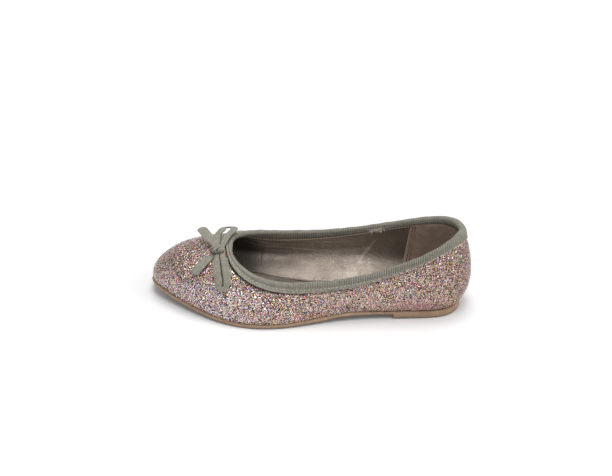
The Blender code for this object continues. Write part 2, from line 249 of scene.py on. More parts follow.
def closed_spline(rows, at):
    """Smooth closed curve through the rows, read at the row numbers in at (periodic cubic spline)."""
    rows = np.asarray(rows, float)
    count = len(rows)
    before, after = np.roll(rows, 1, 0), np.roll(rows, -1, 0)
    links = 4 * np.eye(count) + np.roll(np.eye(count), 1, 0) + np.roll(np.eye(count), -1, 0)
    bend = np.linalg.solve(links, 6 * (after - 2 * rows + before))
    low = np.floor(at).astype(int) % count
    high = (low + 1) % count
    right = (at - np.floor(at))[..., None]
    left = 1 - right
    curve = left * rows[low] + right * rows[high]
    return curve + ((left**3 - left) * bend[low] + (right**3 - right) * bend[high]) / 6


def by_rib(values, around):
    """Value of a table with one number a rib, at places around the shoe."""
    return closed_spline(np.array(values)[:, None], around)[..., 0]


def level_spline(places, values, at):
    """Smooth curve through the values that never overshoots them (monotone cubic)."""
    places, values = np.asarray(places, float), np.asarray(values, float)
    rise = np.diff(values) / np.diff(places)
    same_way = rise[:-1] * rise[1:] > 0
    inner = np.where(same_way, 2 * rise[:-1] * rise[1:] / np.where(same_way, rise[:-1] + rise[1:], 1), 0)
    slope = np.concatenate([rise[:1], inner, rise[-1:]])
    low = np.clip(np.searchsorted(places, at) - 1, 0, len(places) - 2)
    span = places[low + 1] - places[low]
    part = (at - places[low]) / span
    rest = 1 - part
    ends = (1 + 2 * part) * rest**2 * values[low] + (1 + 2 * rest) * part**2 * values[low + 1]
    return ends + span * part * rest * (rest * slope[low] - part * slope[low + 1])


def smooth_rows(rows, steps):
    """Rows of a small table carried through a level spline, so that many rows lie between them."""
    rows = np.asarray(rows, float)
    at = np.linspace(0, len(rows) - 1, steps)
    return np.stack([level_spline(range(len(rows)), column, at) for column in rows.T], -1)


def smooth_step(low, high, at):
    """0 below low, 1 above high, and a smooth rise between (cubic)."""
    part = np.clip((at - low) / (high - low), 0, 1)
    return part**2 * (3 - 2 * part)


def unit(vectors):
    """Vectors divided by their lengths."""
    return vectors / np.linalg.norm(vectors, axis=-1, keepdims=True)


def run_lengths(points):
    """Length along the points' second axis, from its first point."""
    steps = np.linalg.norm(np.diff(points, axis=1), axis=-1)
    return np.concatenate([np.zeros((len(points), 1)), np.cumsum(steps, 1)], 1)


# The last

def x_of(along):
    """Place along X of a share of the length from the back."""
    return (0.5 - along) * LENGTH


def sole_height(along, column):
    """Height of the sole's underside or top, a column of its table, at a share of the length."""
    return level_spline([row[1] for row in SOLE_PROFILE], [row[column] for row in SOLE_PROFILE], along) * MM


def outline(around):
    """Feather edge in plan: its points, its share of the length, and the way out from the shoe."""
    along, side = np.moveaxis(closed_spline(RIB_VALUES[:, :2], around), -1, 0)
    step = 0.02
    ahead = closed_spline(RIB_VALUES[:, :2], around + step)
    behind = closed_spline(RIB_VALUES[:, :2], around - step)
    run = unit((ahead - behind) * (-LENGTH, BALL_WIDTH))
    out = np.stack([-run[..., 1], run[..., 0], 0 * along], -1)
    return np.stack([x_of(along), side * BALL_WIDTH, 0 * along], -1), along, out


def rib_points(around):
    """The four points of each rib's cubic: feather edge, low handle, high handle and topline."""
    values = np.moveaxis(closed_spline(RIB_VALUES[:, 2:9], around), -1, 0)
    top_along, top_side, top_height, low_out, low_up, high_out, high_down = values
    feather, along, out = outline(around)
    feather[..., 2] = sole_height(along, TOP) + GAP
    top = np.stack([x_of(top_along), top_side * BALL_WIDTH, top_height], -1)
    up = np.array([0, 0, 1])
    low = feather + out * (low_out * MM)[..., None] + up * (low_up * MM)[..., None]
    high = top + out * (high_out * MM)[..., None] - up * (high_down * MM)[..., None]
    return feather, low, high, top


def wall(around, rise):
    """Outside of the upper: a cubic through each rib's four points."""
    feather, low, high, top = rib_points(around)
    part = rise[..., None]
    rest = 1 - part
    return rest**3 * feather + 3 * rest**2 * part * low + 3 * rest * part**2 * high + part**3 * top


def wall_frame(around, rise):
    """Wall points with the unit directions out of the wall and up along it."""
    step = 0.004
    run = wall(around + step, rise) - wall(around - step, rise)
    climb = unit(wall(around, rise + step) - wall(around, rise - step))
    return wall(around, rise), unit(np.cross(climb, run)), climb


FINE_AROUND = np.linspace(0, len(RIBS), 4001)


def even_around(count, rise):
    """Places around the shoe spaced evenly by length along the wall at one rise."""
    run = run_lengths(wall(FINE_AROUND, np.full_like(FINE_AROUND, rise))[None])[0]
    return np.interp(np.arange(count) * run[-1] / count, run, FINE_AROUND)


TOPLINE_RUN = run_lengths(wall(FINE_AROUND, np.ones_like(FINE_AROUND))[None])[0]


def topline_run(around):
    """Length along the topline from the back to a place around the shoe."""
    return np.interp(np.asarray(around) % len(RIBS), FINE_AROUND, TOPLINE_RUN)


def climb_per_rise(around):
    """Length of wall for one unit of rise, at the topline."""
    _, _, high, top = rib_points(around)
    return 3 * np.linalg.norm(top - high, axis=-1)


def crease_height(table, around, drop):
    """Height of a table's creases: each has a bell section, fades at its ends and is turned by its angle."""
    height = np.zeros_like(drop)
    whole = TOPLINE_RUN[-1]
    for _, rib, middle, half_length, half_width, lift, turn in table:
        ahead = (topline_run(around) - topline_run(rib) + whole / 2) % whole - whole / 2
        down = drop - middle * MM
        turned = radians(turn)
        lengthwise = ahead * cos(turned) + down * sin(turned)
        crosswise = down * cos(turned) - ahead * sin(turned)
        fade = (lengthwise / (half_length * MM))**4
        bell = (crosswise / (half_width * MM))**2
        height += lift * MM * np.exp(-fade - bell)
    return height


def slow_waves(across, along, waves):
    """Sum of slanted sine waves: rows of wave length across and along (mm), start (turns) and height (mm)."""
    total = np.zeros(np.broadcast(across, along).shape)
    for long_across, long_along, start, height in waves:
        turns = across / (long_across * MM) + along / (long_along * MM) + start
        total += height * MM * np.sin(2 * pi * turns)
    return total


def frame_shift():
    """Move from the last's own frame to the solids', whose box is centred.

    It is the step from the wall's low corner, at the points of the solid's loft, to that of the upper's box.
    """
    around, rise = np.meshgrid(np.arange(112) / 7, np.linspace(0, 1, 11), indexing="ij")
    low = wall(around, rise).reshape(-1, 3).min(0)
    shift = np.array(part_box("upper")[0]) - low
    shift[2] = 0
    return shift


SHIFT = frame_shift()


# Meshes

def add_piece(name, points, faces, material):
    """A smooth mesh piece of the shoe, placed in the solids' frame, riding on the shoe's one body."""
    mesh = bpy.data.meshes.new(name)
    mesh.from_pydata((np.asarray(points).reshape(-1, 3) + SHIFT).tolist(), [], faces)
    mesh.shade_smooth()
    mesh.materials.append(material)
    piece = bpy.data.objects.new(name, mesh)
    bpy.context.scene.collection.objects.link(piece)
    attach(piece, "root")
    return piece


def grid_corners(rows, columns, wraps):
    """Row and column of each quad's corners, facing along (column step) x (row step), not yet wrapped."""
    row, column = np.meshgrid(
        np.arange(rows if wraps[0] else rows - 1),
        np.arange(columns if wraps[1] else columns - 1), indexing="ij")
    return row.reshape(-1, 1) + [0, 0, 1, 1], column.reshape(-1, 1) + [0, 1, 1, 0]


def end_cap(first, columns):
    """Faces across an end ring of points: each joins two neighbours to the two opposite them."""
    half = columns // 2
    near = np.arange(half - 1)
    far = columns - 1 - near
    quads = (first + np.stack([near, near + 1, far - 1, far], -1)).tolist()
    return quads + [[first + half - 1, first + half, first + half + 1]] * (columns % 2)


def surface(name, points, material, wraps=(False, False), uv=None, caps=False):
    """A piece over a grid of points. uv, one row or column longer where the grid wraps, gives its UV map."""
    rows, columns = points.shape[:2]
    row, column = grid_corners(rows, columns, wraps)
    faces = (row % rows * columns + column % columns).tolist()
    quads = len(faces)
    if caps:
        faces += [face[::-1] for face in end_cap(0, columns)] + end_cap((rows - 1) * columns, columns)
    piece = add_piece(name, points, faces, material)
    if uv is not None:
        loops = np.zeros((len(piece.data.loops), 2), np.float32)
        loops[:quads * 4] = uv[row, column].reshape(-1, 2)
        piece.data.uv_layers.new(name="UVMap").data.foreach_set("uv", loops.ravel())
    return piece


def give_values(piece, name, values):
    """Gives a piece an attribute with a value for each point."""
    values = np.asarray(values, np.float32)
    piece.data.attributes.new(name, "FLOAT", "POINT").data.foreach_set("value", values.ravel())


def face_out(piece):
    """Merges a closed piece's double points and turns its faces outwards."""
    body = bmesh.new()
    body.from_mesh(piece.data)
    bmesh.ops.remove_doubles(body, verts=body.verts, dist=.001 * MM)
    bmesh.ops.recalc_face_normals(body, faces=body.faces)
    body.to_mesh(piece.data)
    body.free()
    return piece


def thicken(piece, thickness):
    """Makes a sheet a wall: thickness is added behind its faces."""
    solidify = piece.modifiers.new("wall", "SOLIDIFY")
    solidify.thickness = thickness
    solidify.offset = -1


def spread(values, count):
    """Values repeated along a new first axis."""
    return np.broadcast_to(values, (count, *np.shape(values)))


# Colours

# Linear colours; tones go from dark to light
TAPE_TONES = ((.265, .249, .206), (.355, .336, .280))
TAPE_FLECK = (.155, .146, .121)
# Painted shade on the tape: its inner leaf, the knot's folds and the edges beside the loops' slits
TAPE_PAINTED_SHADE = (.035, .032, .026)
RIB_GROOVE_SHADE = (.085, .08, .066)
# Shaded and lit copies of the pewter foil: painted light on the bowl low down
PEWTER_SHADED = ((.39, .330, .278), (.49, .418, .357))
PEWTER_LIT = ((.46, .394, .336), (.59, .510, .442))
# Painted highlight along the cross pull crease
PEWTER_HIGHLIGHT = (.86, .79, .71)
SUEDE_TONES = ((.33, .247, .199), (.44, .334, .270))
SOCK_TONES = ((.135, .113, .096), (.195, .165, .141))
SOLE_TONES = ((.355, .228, .142), (.465, .313, .208))
SOLE_DIRT = (.13, .085, .058)
SOLE_EDGE_SHADE_AND_DIRT = (.085, .052, .034)
WORN_PINK = (.50, .19, .26)
# Painted shadow under the binding's free edge and along the join with the sole
EDGE_SHADOW_PAINT = (.020, .015, .012)
FLOOR_TONES = ((.90, .90, .91), (.92, .92, .925))

# Tints over the flakes: painted shade on the toe's top and at the back of the heel, a painted highlight
# over the lower vamp, and darker towards the heel and at the toe tip. Each sets in at one X and is full at
# another (m), with a strength, and changes between two heights (m) from its share below to its share above
GLITTER_TINTS = [
    # stretch      from   full  strength  low   high  below above  colour
    ("toe_top_shade",   -.070, -.105, .8,       .014, .030, 0,    1,     (.74, .70, .68)),
    ("vamp",      -.015, -.060, 1,        .022, .034, 1,    .1,    (1.15, 1.23, 1.32)),
    ("heel",       .060,  .110, .8,       0,    1,    1,    1,     (.86, .81, .77)),
    ("toe_tip",   -.104, -.119, .8,       0,    1,    1,    1,     (.80, .69, .64)),
    ("heel_back_shade",  .100,  .118, 1,        0,    1,    1,    1,     (.75, .71, .70)),
]
# Worn patch at the heel: its middle in the last's frame (m), how it is drawn out, and where it fades (m)
PATCH_MIDDLE = (.0800, -.0265, .0125)
PATCH_SHAPE = (.6, 1, 1.2)
PATCH_REACH = (.003, .012)
# Darker stretches of the lining: each sets in at one X and is full at another (m). The vamp is darker
# lining with painted shade towards the toe; the throat and the rear have painted shade.
PEWTER_SHADE_STRETCHES = [
    # stretch   from   full  strength  colour
    ("vamp",   -.012, -.056, .9,       (.26, .238, .200)),
    ("throat", -.036, -.052, .7,       (.085, .083, .068)),
    ("rear",    .030,  .072, .7,       (.21, .172, .142)),
]


# Nodes

def add(tree, kind, inputs=(), **settings):
    """Adds a node: settings are its properties; inputs that are sockets are linked, other values are set."""
    node = tree.nodes.new(kind)
    for name, value in settings.items():
        setattr(node, name, value)
    for key, value in dict(inputs).items():
        if isinstance(value, bpy.types.NodeSocket):
            tree.links.new(value, node.inputs[key])
        else:
            node.inputs[key].default_value = value
    return node


def use(tree, group, **inputs):
    """Outputs of a shared group, placed in a tree with its own values."""
    return add(tree, "ShaderNodeGroup", inputs, node_tree=group).outputs


def feed(tree, sockets, **values):
    """Links values to the sockets of those names; an underscore stands for a space."""
    for name, value in values.items():
        tree.links.new(value, sockets[name.replace("_", " ")])


def math(tree, operation, first, second=0.0):
    """Result of a Math node."""
    return add(tree, "ShaderNodeMath", {0: first, 1: second}, operation=operation).outputs[0]


def vector_math(tree, operation, first, second=(0, 0, 0)):
    """Vector result of a Vector Math node."""
    return add(tree, "ShaderNodeVectorMath", {0: first, 1: second}, operation=operation).outputs[0]


def axes(tree, vector):
    """X, Y and Z of a vector."""
    return add(tree, "ShaderNodeSeparateXYZ", {0: vector}).outputs


def attribute(tree, name):
    """Value of a piece's own attribute."""
    return add(tree, "ShaderNodeAttribute", attribute_name=name).outputs["Fac"]


def map_range(tree, value, low, high, to_low, to_high):
    """Value carried from one range to another, clamped, with a smooth step."""
    return add(tree, "ShaderNodeMapRange", {
        "Value": value, "From Min": low, "From Max": high, "To Min": to_low, "To Max": to_high,
    }, interpolation_type="SMOOTHSTEP").outputs[0]


def mix(tree, factor, first, second, blend="MIX"):
    """Colour mixed from the first to the second, or to their product where blend is MULTIPLY."""
    first, second = [
        value if isinstance(value, bpy.types.NodeSocket) else (*value, 1) for value in (first, second)]
    node = add(tree, "ShaderNodeMix", {0: factor, 6: first, 7: second}, data_type="RGBA", blend_type=blend)
    return node.outputs[2]


# Node groups

# Kinds of the groups' sockets; the others are Float
SOCKET_KINDS = {"Vector": "Vector", "Normal": "Vector", "Color": "Color"}


def new_group(name, inputs, outputs):
    """An empty shader group with named sockets, and the sockets of its input and output nodes."""
    tree = bpy.data.node_groups.new(name, "ShaderNodeTree")
    for sockets, side in ((inputs, "INPUT"), (outputs, "OUTPUT")):
        for socket in sockets:
            kind = "NodeSocket" + SOCKET_KINDS.get(socket, "Float")
            tree.interface.new_socket(socket, in_out=side, socket_type=kind)
    return tree, tree.nodes.new("NodeGroupInput").outputs, tree.nodes.new("NodeGroupOutput").inputs


def noise(tree, place, scale, detail, roughness=.5):
    """Value of a noise."""
    return add(tree, "ShaderNodeTexNoise", {
        "Vector": place, "Scale": scale, "Detail": detail, "Roughness": roughness}).outputs[0]


def mottle_group():
    """Soft cloudy value between Low and High."""
    tree, given, result = new_group("soft_mottle", ("Vector", "Scale", "Low", "High"), ("Value",))
    clouds = noise(tree, given["Vector"], given["Scale"], 4.0, .6)
    feed(tree, result, Value=map_range(tree, clouds, .3, .7, given["Low"], given["High"]))
    return tree


def grain_group():
    """Height of a fine grain: noise with a finer noise over it."""
    tree, given, result = new_group("fine_grain", ("Vector", "Scale"), ("Height",))
    coarse = noise(tree, given["Vector"], given["Scale"], 3.0)
    fine = noise(tree, given["Vector"], math(tree, "MULTIPLY", given["Scale"], 2.7), 2.0)
    feed(tree, result, Height=math(tree, "ADD", coarse, math(tree, "MULTIPLY", fine, .6)))
    return tree


# Colours of the flakes: share of the flakes, linear colour
FLAKE_COLOURS = [
    # name         share  colour
    ("plum",        .33,  (.008, .005, .006)),
    ("umber",       .05,  (.075, .042, .030)),
    ("rose",        .03,  (.420, .200, .170)),
    ("silver",      .24,  (1.00, .885, .790)),
    ("copper",      .09,  (.720, .240, .100)),
    ("gold",        .08,  (.780, .580, .120)),
    ("green",       .03,  (.160, .340, .100)),
    ("teal",        .04,  (.050, .360, .400)),
    ("violet",      .05,  (.260, .160, .600)),
    ("pink",        .06,  (.850, .150, .400)),
]
# Cells per metre and tilt of the coarse and the fine flakes, and roughness of the glossiest and dullest
FLAKE_LAYERS = ((1500, 1.1), (2400, 1.0))
FLAKE_ROUGHNESS = (.10, .36)


def flake_ramp(tree, pick):
    """Colour of a flake from its random pick: one step of the ramp for each colour, as wide as its share."""
    ramp = add(tree, "ShaderNodeValToRGB", {0: pick})
    ramp.color_ramp.interpolation = "CONSTANT"
    start = 0
    for index, (_, share, colour) in enumerate(FLAKE_COLOURS):
        stops = ramp.color_ramp.elements
        stop = stops[index] if index < 2 else stops.new(start)
        stop.position = start
        stop.color = (*colour, 1)
        start += share
    return ramp.outputs[0]


def flake_group():
    """Flat flakes: each cell has a Color of the table, a random Shine, and a Normal tilted its own way."""
    tree, given, result = new_group(
        "glitter_flakes", ("Vector", "Scale", "Tilt"), ("Color", "Shine", "Normal"))
    cells = add(tree, "ShaderNodeTexVoronoi", {"Vector": given["Vector"], "Scale": given["Scale"]})
    parts = add(tree, "ShaderNodeSeparateColor", {0: cells.outputs["Color"]}).outputs
    chance = add(tree, "ShaderNodeTexWhiteNoise", {"Vector": cells.outputs["Color"]}, noise_dimensions="3D")
    lean = vector_math(tree, "SUBTRACT", chance.outputs["Color"], (.5, .5, .5))
    lean = add(tree, "ShaderNodeVectorMath", {0: lean, "Scale": given["Tilt"]}, operation="SCALE").outputs[0]
    facing = add(tree, "ShaderNodeNewGeometry").outputs["Normal"]
    tilted = vector_math(tree, "NORMALIZE", vector_math(tree, "ADD", facing, lean))
    feed(tree, result, Color=flake_ramp(tree, parts[0]), Shine=parts[1], Normal=tilted)
    return tree


MOTTLE = mottle_group()
GRAIN = grain_group()
FLAKES = flake_group()


def mottle(tree, place, scale, low, high):
    """Cloudy value from the shared group."""
    return use(tree, MOTTLE, Vector=place, Scale=scale, Low=low, High=high)["Value"]


def glitter_group():
    """Coarse and fine flakes strewn over each other, with a Chance for each coarse flake."""
    tree, given, result = new_group(
        "strewn_glitter", ("Vector",), ("Color", "Roughness", "Normal", "Chance"))
    coarse, fine = [
        use(tree, FLAKES, Vector=given["Vector"], Scale=scale, Tilt=tilt) for scale, tilt in FLAKE_LAYERS]
    on_top = math(tree, "GREATER_THAN", fine["Shine"], .5)
    facing = add(tree, "ShaderNodeMix", {
        0: on_top, 4: coarse["Normal"], 5: fine["Normal"]}, data_type="VECTOR").outputs[1]
    feed(tree, result, Color=mix(tree, on_top, coarse["Color"], fine["Color"]),
         Roughness=map_range(tree, coarse["Shine"], 0, 1, *FLAKE_ROUGHNESS),
         Normal=facing, Chance=coarse["Shine"])
    return tree


def tape_group():
    """Olive-grey of the woven tape: cloudy, with flecks of darker yarn, and darker still where shade is
    painted.
    """
    tree, given, result = new_group("tape_colour", ("Vector", "Fold"), ("Color",))
    place = given["Vector"]
    colour = mix(tree, mottle(tree, place, 320, 0, 1), *TAPE_TONES)
    colour = mix(tree, mottle(tree, place, 1100, .0, .45), colour, TAPE_FLECK)
    # Painted shade where the fold attribute comes in
    feed(tree, result, Color=mix(tree, given["Fold"], colour, TAPE_PAINTED_SHADE))
    return tree


STREWN = glitter_group()
TAPE_COLOUR = tape_group()


# Materials

def new_material(name, roughness, **fixed):
    """A material, its tree, its Principled shader's sockets with the fixed values set, and the place."""
    material = bpy.data.materials.new(name)
    material.use_nodes = True
    tree = material.node_tree
    sockets = tree.nodes["Principled BSDF"].inputs
    sockets["Roughness"].default_value = roughness
    for socket, value in fixed.items():
        sockets[socket.replace("_", " ")].default_value = value
    return material, tree, sockets, tree.nodes.new("ShaderNodeTexCoord").outputs["Object"]


def grain_bump(tree, sockets, place, scale, depth):
    """Fine grain from the shared group as a bump of the given depth (m)."""
    height = use(tree, GRAIN, Vector=place, Scale=scale)["Height"]
    bump = add(tree, "ShaderNodeBump", {"Height": height, "Distance": depth, "Strength": 1.0})
    feed(tree, sockets, Normal=bump.outputs[0])


def glitter_material():
    """Strewn metal flakes with the table's tints, a pink patch of wear, and painted shadow along edges."""
    material, tree, sockets, place = new_material("glitter", .35, Metallic=.65)
    strewn = use(tree, STREWN, Vector=place)
    away = vector_math(tree, "SUBTRACT", place, tuple(SHIFT + PATCH_MIDDLE))
    away = vector_math(tree, "MULTIPLY", away, PATCH_SHAPE)
    away = add(tree, "ShaderNodeVectorMath", {0: away}, operation="LENGTH").outputs["Value"]
    patch = map_range(tree, away, *PATCH_REACH, .72, 0)
    patch = math(tree, "MULTIPLY", patch, mottle(tree, place, 260, .2, 1))
    colour = mix(tree, patch, strewn["Color"], WORN_PINK)
    spot = axes(tree, place)
    # Painted shade and highlight from the tints, darker towards the heel and at the toe tip
    for _, start, full, strength, low, high, below, above, tint in GLITTER_TINTS:
        stretch = map_range(tree, spot["X"], start, full, 0, strength)
        level = map_range(tree, spot["Z"], low, high, below, above)
        colour = mix(tree, math(tree, "MULTIPLY", stretch, level), colour, tint, "MULTIPLY")
    # Painted shadow under the binding's free edge and along the feather edge
    painted_edge_shadow = math(tree, "MULTIPLY", attribute(tree, "painted_edge_shadow"), .92)
    feed(tree, sockets, Base_Color=mix(tree, painted_edge_shadow, colour, EDGE_SHADOW_PAINT),
         Roughness=strewn["Roughness"], Normal=strewn["Normal"])
    return material


def tape_colour(tree, place):
    """The tape's colour from the shared group; the attribute fold adds painted shade to it."""
    return use(tree, TAPE_COLOUR, Vector=place, Fold=attribute(tree, "fold"))["Color"]


def tape_material():
    """Flat tape of the bow: dull nap and a soft sheen."""
    material, tree, sockets, place = new_material("tape", .9, Sheen_Weight=.15, Specular_IOR_Level=.25)
    feed(tree, sockets, Base_Color=tape_colour(tree, place))
    grain_bump(tree, sockets, place, 1500, .00012)
    return material


def ribbed_tape_material():
    """The same tape in the binding. Its rib grooves, counted along the UV map, have painted shade.

    The attribute worn gives the share of its cells that hold a flake of glitter.
    """
    material, tree, sockets, place = new_material("ribbed_tape", .9, Sheen_Weight=.15, Specular_IOR_Level=.25)
    count = axes(tree, add(tree, "ShaderNodeUVMap", uv_map="UVMap").outputs[0])
    # Painted shade in the grooves between the ribs
    groove = math(tree, "COSINE", math(tree, "MULTIPLY", count["X"], 2 * pi))
    groove = math(tree, "MULTIPLY", map_range(tree, groove, .5, -.8, 0, .62), count["Y"])
    colour = mix(tree, groove, tape_colour(tree, place), RIB_GROOVE_SHADE)
    strewn = use(tree, STREWN, Vector=place)
    stuck = math(tree, "LESS_THAN", strewn["Chance"], attribute(tree, "wear_and_painted_light"))
    feed(tree, sockets, Base_Color=mix(tree, stuck, colour, strewn["Color"]),
         Metallic=math(tree, "MULTIPLY", stuck, .5), Roughness=map_range(tree, stuck, 0, 1, .9, .35))
    grain_bump(tree, sockets, place, 1500, .00012)
    return material


def plain_material(name, roughness, clouds, tones, grain, **fixed):
    """The same finish all over: clouds (scale, low, high) between two tones, and a grain (scale, depth)."""
    material, tree, sockets, place = new_material(name, roughness, **fixed)
    feed(tree, sockets, Base_Color=mix(tree, mottle(tree, place, *clouds), *tones))
    grain_bump(tree, sockets, place, *grain)
    return material


def thread_material(name, colour):
    """Sewing thread: slightly shiny, with the colour broken up along its length."""
    dark = tuple(part * .7 for part in colour)
    return plain_material(name, .6, (900, .75, 1.1), (dark, colour), (2600, .0001))


def suede_material():
    """Brown-grey heel lining: soft nap, no gloss."""
    return plain_material("suede_lining", .95, (240, 0, 1), SUEDE_TONES, (1900, .00014),
                          Sheen_Weight=.2, Specular_IOR_Level=.2)


def sock_material():
    """Dark grey-brown sock: smooth synthetic with a dull gloss and rubbed clouds."""
    return plain_material("sock", .5, (90, 0, 1), SOCK_TONES, (1200, .00012), Metallic=.3)


def pewter_material():
    """Metallic lining: pewter foil over a fine grain, painted light low down and on the pull line, dark in
    the vamp, painted shade in throat and heel.
    """
    material, tree, sockets, place = new_material("pewter_lining", .5, Metallic=.9)
    tone = mottle(tree, place, 120, 0, 1)
    # Shaded and lit copies of the foil, with painted light low in the bowl
    dull = mix(tree, tone, *PEWTER_SHADED)
    bright = mix(tree, tone, *PEWTER_LIT)
    colour = mix(tree, attribute(tree, "wear_and_painted_light"), dull, bright)
    forward = axes(tree, place)["X"]
    # Painted shade in throat and rear; the vamp darker lining, with painted shade towards the toe
    for _, start, full, strength, shade in PEWTER_SHADE_STRETCHES:
        colour = mix(tree, map_range(tree, forward, start, full, 0, strength), colour, shade)
    # Painted highlight along the pull line
    pale = math(tree, "MULTIPLY", attribute(tree, "pale"), .5)
    feed(tree, sockets, Base_Color=mix(tree, pale, colour, PEWTER_HIGHLIGHT),
         Roughness=mottle(tree, place, 260, .42, .60))
    grain_bump(tree, sockets, place, 800, .00045)
    return material


def sole_material():
    """Tan moulded rubber: cloudy, finely pitted, dirty near the floor. Where the attribute under is 1 it has
    painted shade on its lower edge and dirt on the tread.
    """
    material, tree, sockets, place = new_material("tan_sole", .62, Specular_IOR_Level=.4)
    colour = mix(tree, mottle(tree, place, 150, 0, 1), *SOLE_TONES)
    low = map_range(tree, axes(tree, place)["Z"], 0, .0035, .55, 0)
    colour = mix(tree, math(tree, "MULTIPLY", low, mottle(tree, place, 400, .2, 1)), colour, SOLE_DIRT)
    # Painted shade on the sole's lower edge and dirt on the tread
    feed(tree, sockets, Base_Color=mix(tree, attribute(tree, "under"), colour, SOLE_EDGE_SHADE_AND_DIRT))
    grain_bump(tree, sockets, place, 1100, .00014)
    return material


GLITTER = glitter_material()
TAPE = tape_material()
RIBBED_TAPE = ribbed_tape_material()
THREAD = thread_material("flange_thread", (.60, .55, .455))
YARN = thread_material("loose_yarn", (.58, .53, .44))
CREAM_THREAD = thread_material("lining_thread", (.82, .71, .57))
TAN_THREAD = thread_material("heel_edge_fold", (.60, .45, .36))
BROWN_THREAD = thread_material("heel_seam_thread", (.085, .042, .032))
PEWTER = pewter_material()
SUEDE = suede_material()
SOCK = sock_material()
SOLE = sole_material()


# Upper and lining

# Line drawn in along the free edge of the binding: its middle below that edge, half width and depth
EDGE_MIDDLE = .45 * MM
EDGE_HALF = .75 * MM
EDGE_DEPTH = .35 * MM
# How dark the painted shadow along the feather edge is
FEATHER_SHADOW = .4
# Parts of the quarter lining: close together in its creases and at its lower edge
LINING_PARTS = np.concatenate([
    np.linspace(.04, .95, 52), np.linspace(.97, 1.92, 26), np.linspace(1.93, 2, 10)])
# Slow waves: length across and along (mm), start (turns) and height (mm)
LINING_WAVES = [(37, 90, .1, .18), (23, -60, .4, .12), (61, 31, .7, .16)]
HEEL_WAVES = [(33, 70, .3, .15), (19, -40, .0, .10)]
# Lower edge of the quarter lining: part, half width and height of its curl, and the tuck below
CURL_PART = 1.975
CURL_HALF = .012
CURL_HEIGHT = .35 * MM
CURL_TUCK = 1.0 * MM
# Heel lining: lift off the wall, less at its tucked top edge, thickness, and length of a rib at the heel
HEEL_LIFT = .9 * MM
HEEL_TUCK = .7 * MM
HEEL_THICK = .7 * MM
HEEL_RIB = 20 * MM


def glitter_upper():
    """Glitter cloth: the wall of the last with its creases, doubled inward by the cloth's thickness.

    Rows lie close together in the first 10 mm below the topline. There the cloth is drawn in along the free
    edge of the binding. Its attribute is 1 on that line, a painted shadow under that edge, and less along the
    feather edge, a painted shadow at the join with the sole.
    """
    around = even_around(600, .45)
    close = roll_drop(around)[:, None] + np.linspace(0, 10, 30) * MM
    upper_rows = 1 - close / climb_per_rise(around)[:, None]
    lower_rows = upper_rows[:, -1:] + (-.02 - upper_rows[:, -1:]) * np.linspace(0, 1, 42)[1:]
    rise = np.concatenate([upper_rows, lower_rows], 1)[:, ::-1]
    around = np.broadcast_to(around[:, None], rise.shape)
    point, out, _ = wall_frame(around, rise)
    drop = run_lengths(point[:, ::-1])[:, ::-1] + roll_drop(around)
    leaf = by_rib(LEAF_WIDTH, around) * MM
    edge = np.exp(-((drop - leaf - EDGE_MIDDLE) / EDGE_HALF)**2)
    height = crease_height(UPPER_CREASES, around, drop) - EDGE_DEPTH * edge
    outer = point + out * height[..., None]
    ring = np.concatenate([outer, (outer - out * CLOTH)[:, ::-1]], 1)
    piece = surface("glitter_upper", ring, GLITTER, wraps=(True, True))
    # Painted shadow: a dark line under the binding's free edge, fainter along the feather edge
    painted_edge_shadow = edge * by_rib(EDGE_SHADE, around) + FEATHER_SHADOW * smooth_step(.038, .01, rise)
    give_values(piece, "painted_edge_shadow", np.concatenate([painted_edge_shadow, painted_edge_shadow[:, ::-1]], 1))
    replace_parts(piece, "upper")


def inside(around, part):
    """Inside face: parts 0 to 1 follow the wall down from the topline, 1 to 2 turn onto the insole.

    In the turn the rise falls evenly to 0 while the reach inward grows to the flap by a power, which leaves a
    slow bowl that still slopes at its edge. The height is eased from the feather edge to the insole's top.
    """
    leaves = by_rib(LINING_TURN, around)
    turn = np.clip(part - 1, 0, 1)
    rise = np.where(part > 1, leaves * (1 - turn), 1 - part * (1 - leaves))
    point, out, _ = wall_frame(around, rise)
    _, _, way_out = outline(around)
    inward = by_rib(FLAP_REACH, around) * MM * turn**2.5
    point = point - out * WALL * (1 - turn**4)[..., None] - way_out * inward[..., None]
    point[..., 2] += (INSOLE_THICK + LINING) * turn**2
    return point


def inside_frame(around, part):
    """Inside points and the unit way off the lining into the shoe."""
    step = .004
    run = inside(around + step, part) - inside(around - step, part)
    descent = inside(around, part + step) - inside(around, part - step)
    return inside(around, part), unit(np.cross(descent, run))


def quarter_lining():
    """Lining of vamp and quarters with its creases and slow waves; its lower edge curls up a little.

    The attribute pale is 1 along the cross pull, where a highlight is painted, and another attribute is 1
    low down, where light is painted on the bowl.
    """
    around = even_around(480, .8)
    around, part = np.meshgrid(around, LINING_PARTS, indexing="ij")
    point, off = inside_frame(around, part)
    drop = run_lengths(point)
    height = crease_height(LINING_CREASES, around, drop)
    height += slow_waves(topline_run(around), drop, LINING_WAVES)
    height += CURL_HEIGHT * np.exp(-((part - CURL_PART) / CURL_HALF)**2)
    height -= CURL_TUCK * smooth_step(1.98, 2, part)
    points = (point + off * height[..., None])[:, ::-1]
    piece = surface("quarter_lining", points, PEWTER, wraps=(True, False))
    # Painted highlight along the cross pull crease
    pull = [row for row in LINING_CREASES if row[0] == "cross_pull"]
    pale = crease_height(pull, around, drop) / (pull[0][5] * MM)
    give_values(piece, "pale", pale[:, ::-1])
    # Painted light low in the bowl
    give_values(piece, "wear_and_painted_light", smooth_step(1.1, 1.7, part)[:, ::-1])
    thicken(piece, LINING)


def heel_edge(part):
    """Rib number of the heel lining's front edge, slanting from the topline down to the insole."""
    return HEEL_EDGE_TOP + (HEEL_EDGE_LOW - HEEL_EDGE_TOP) * part / 2


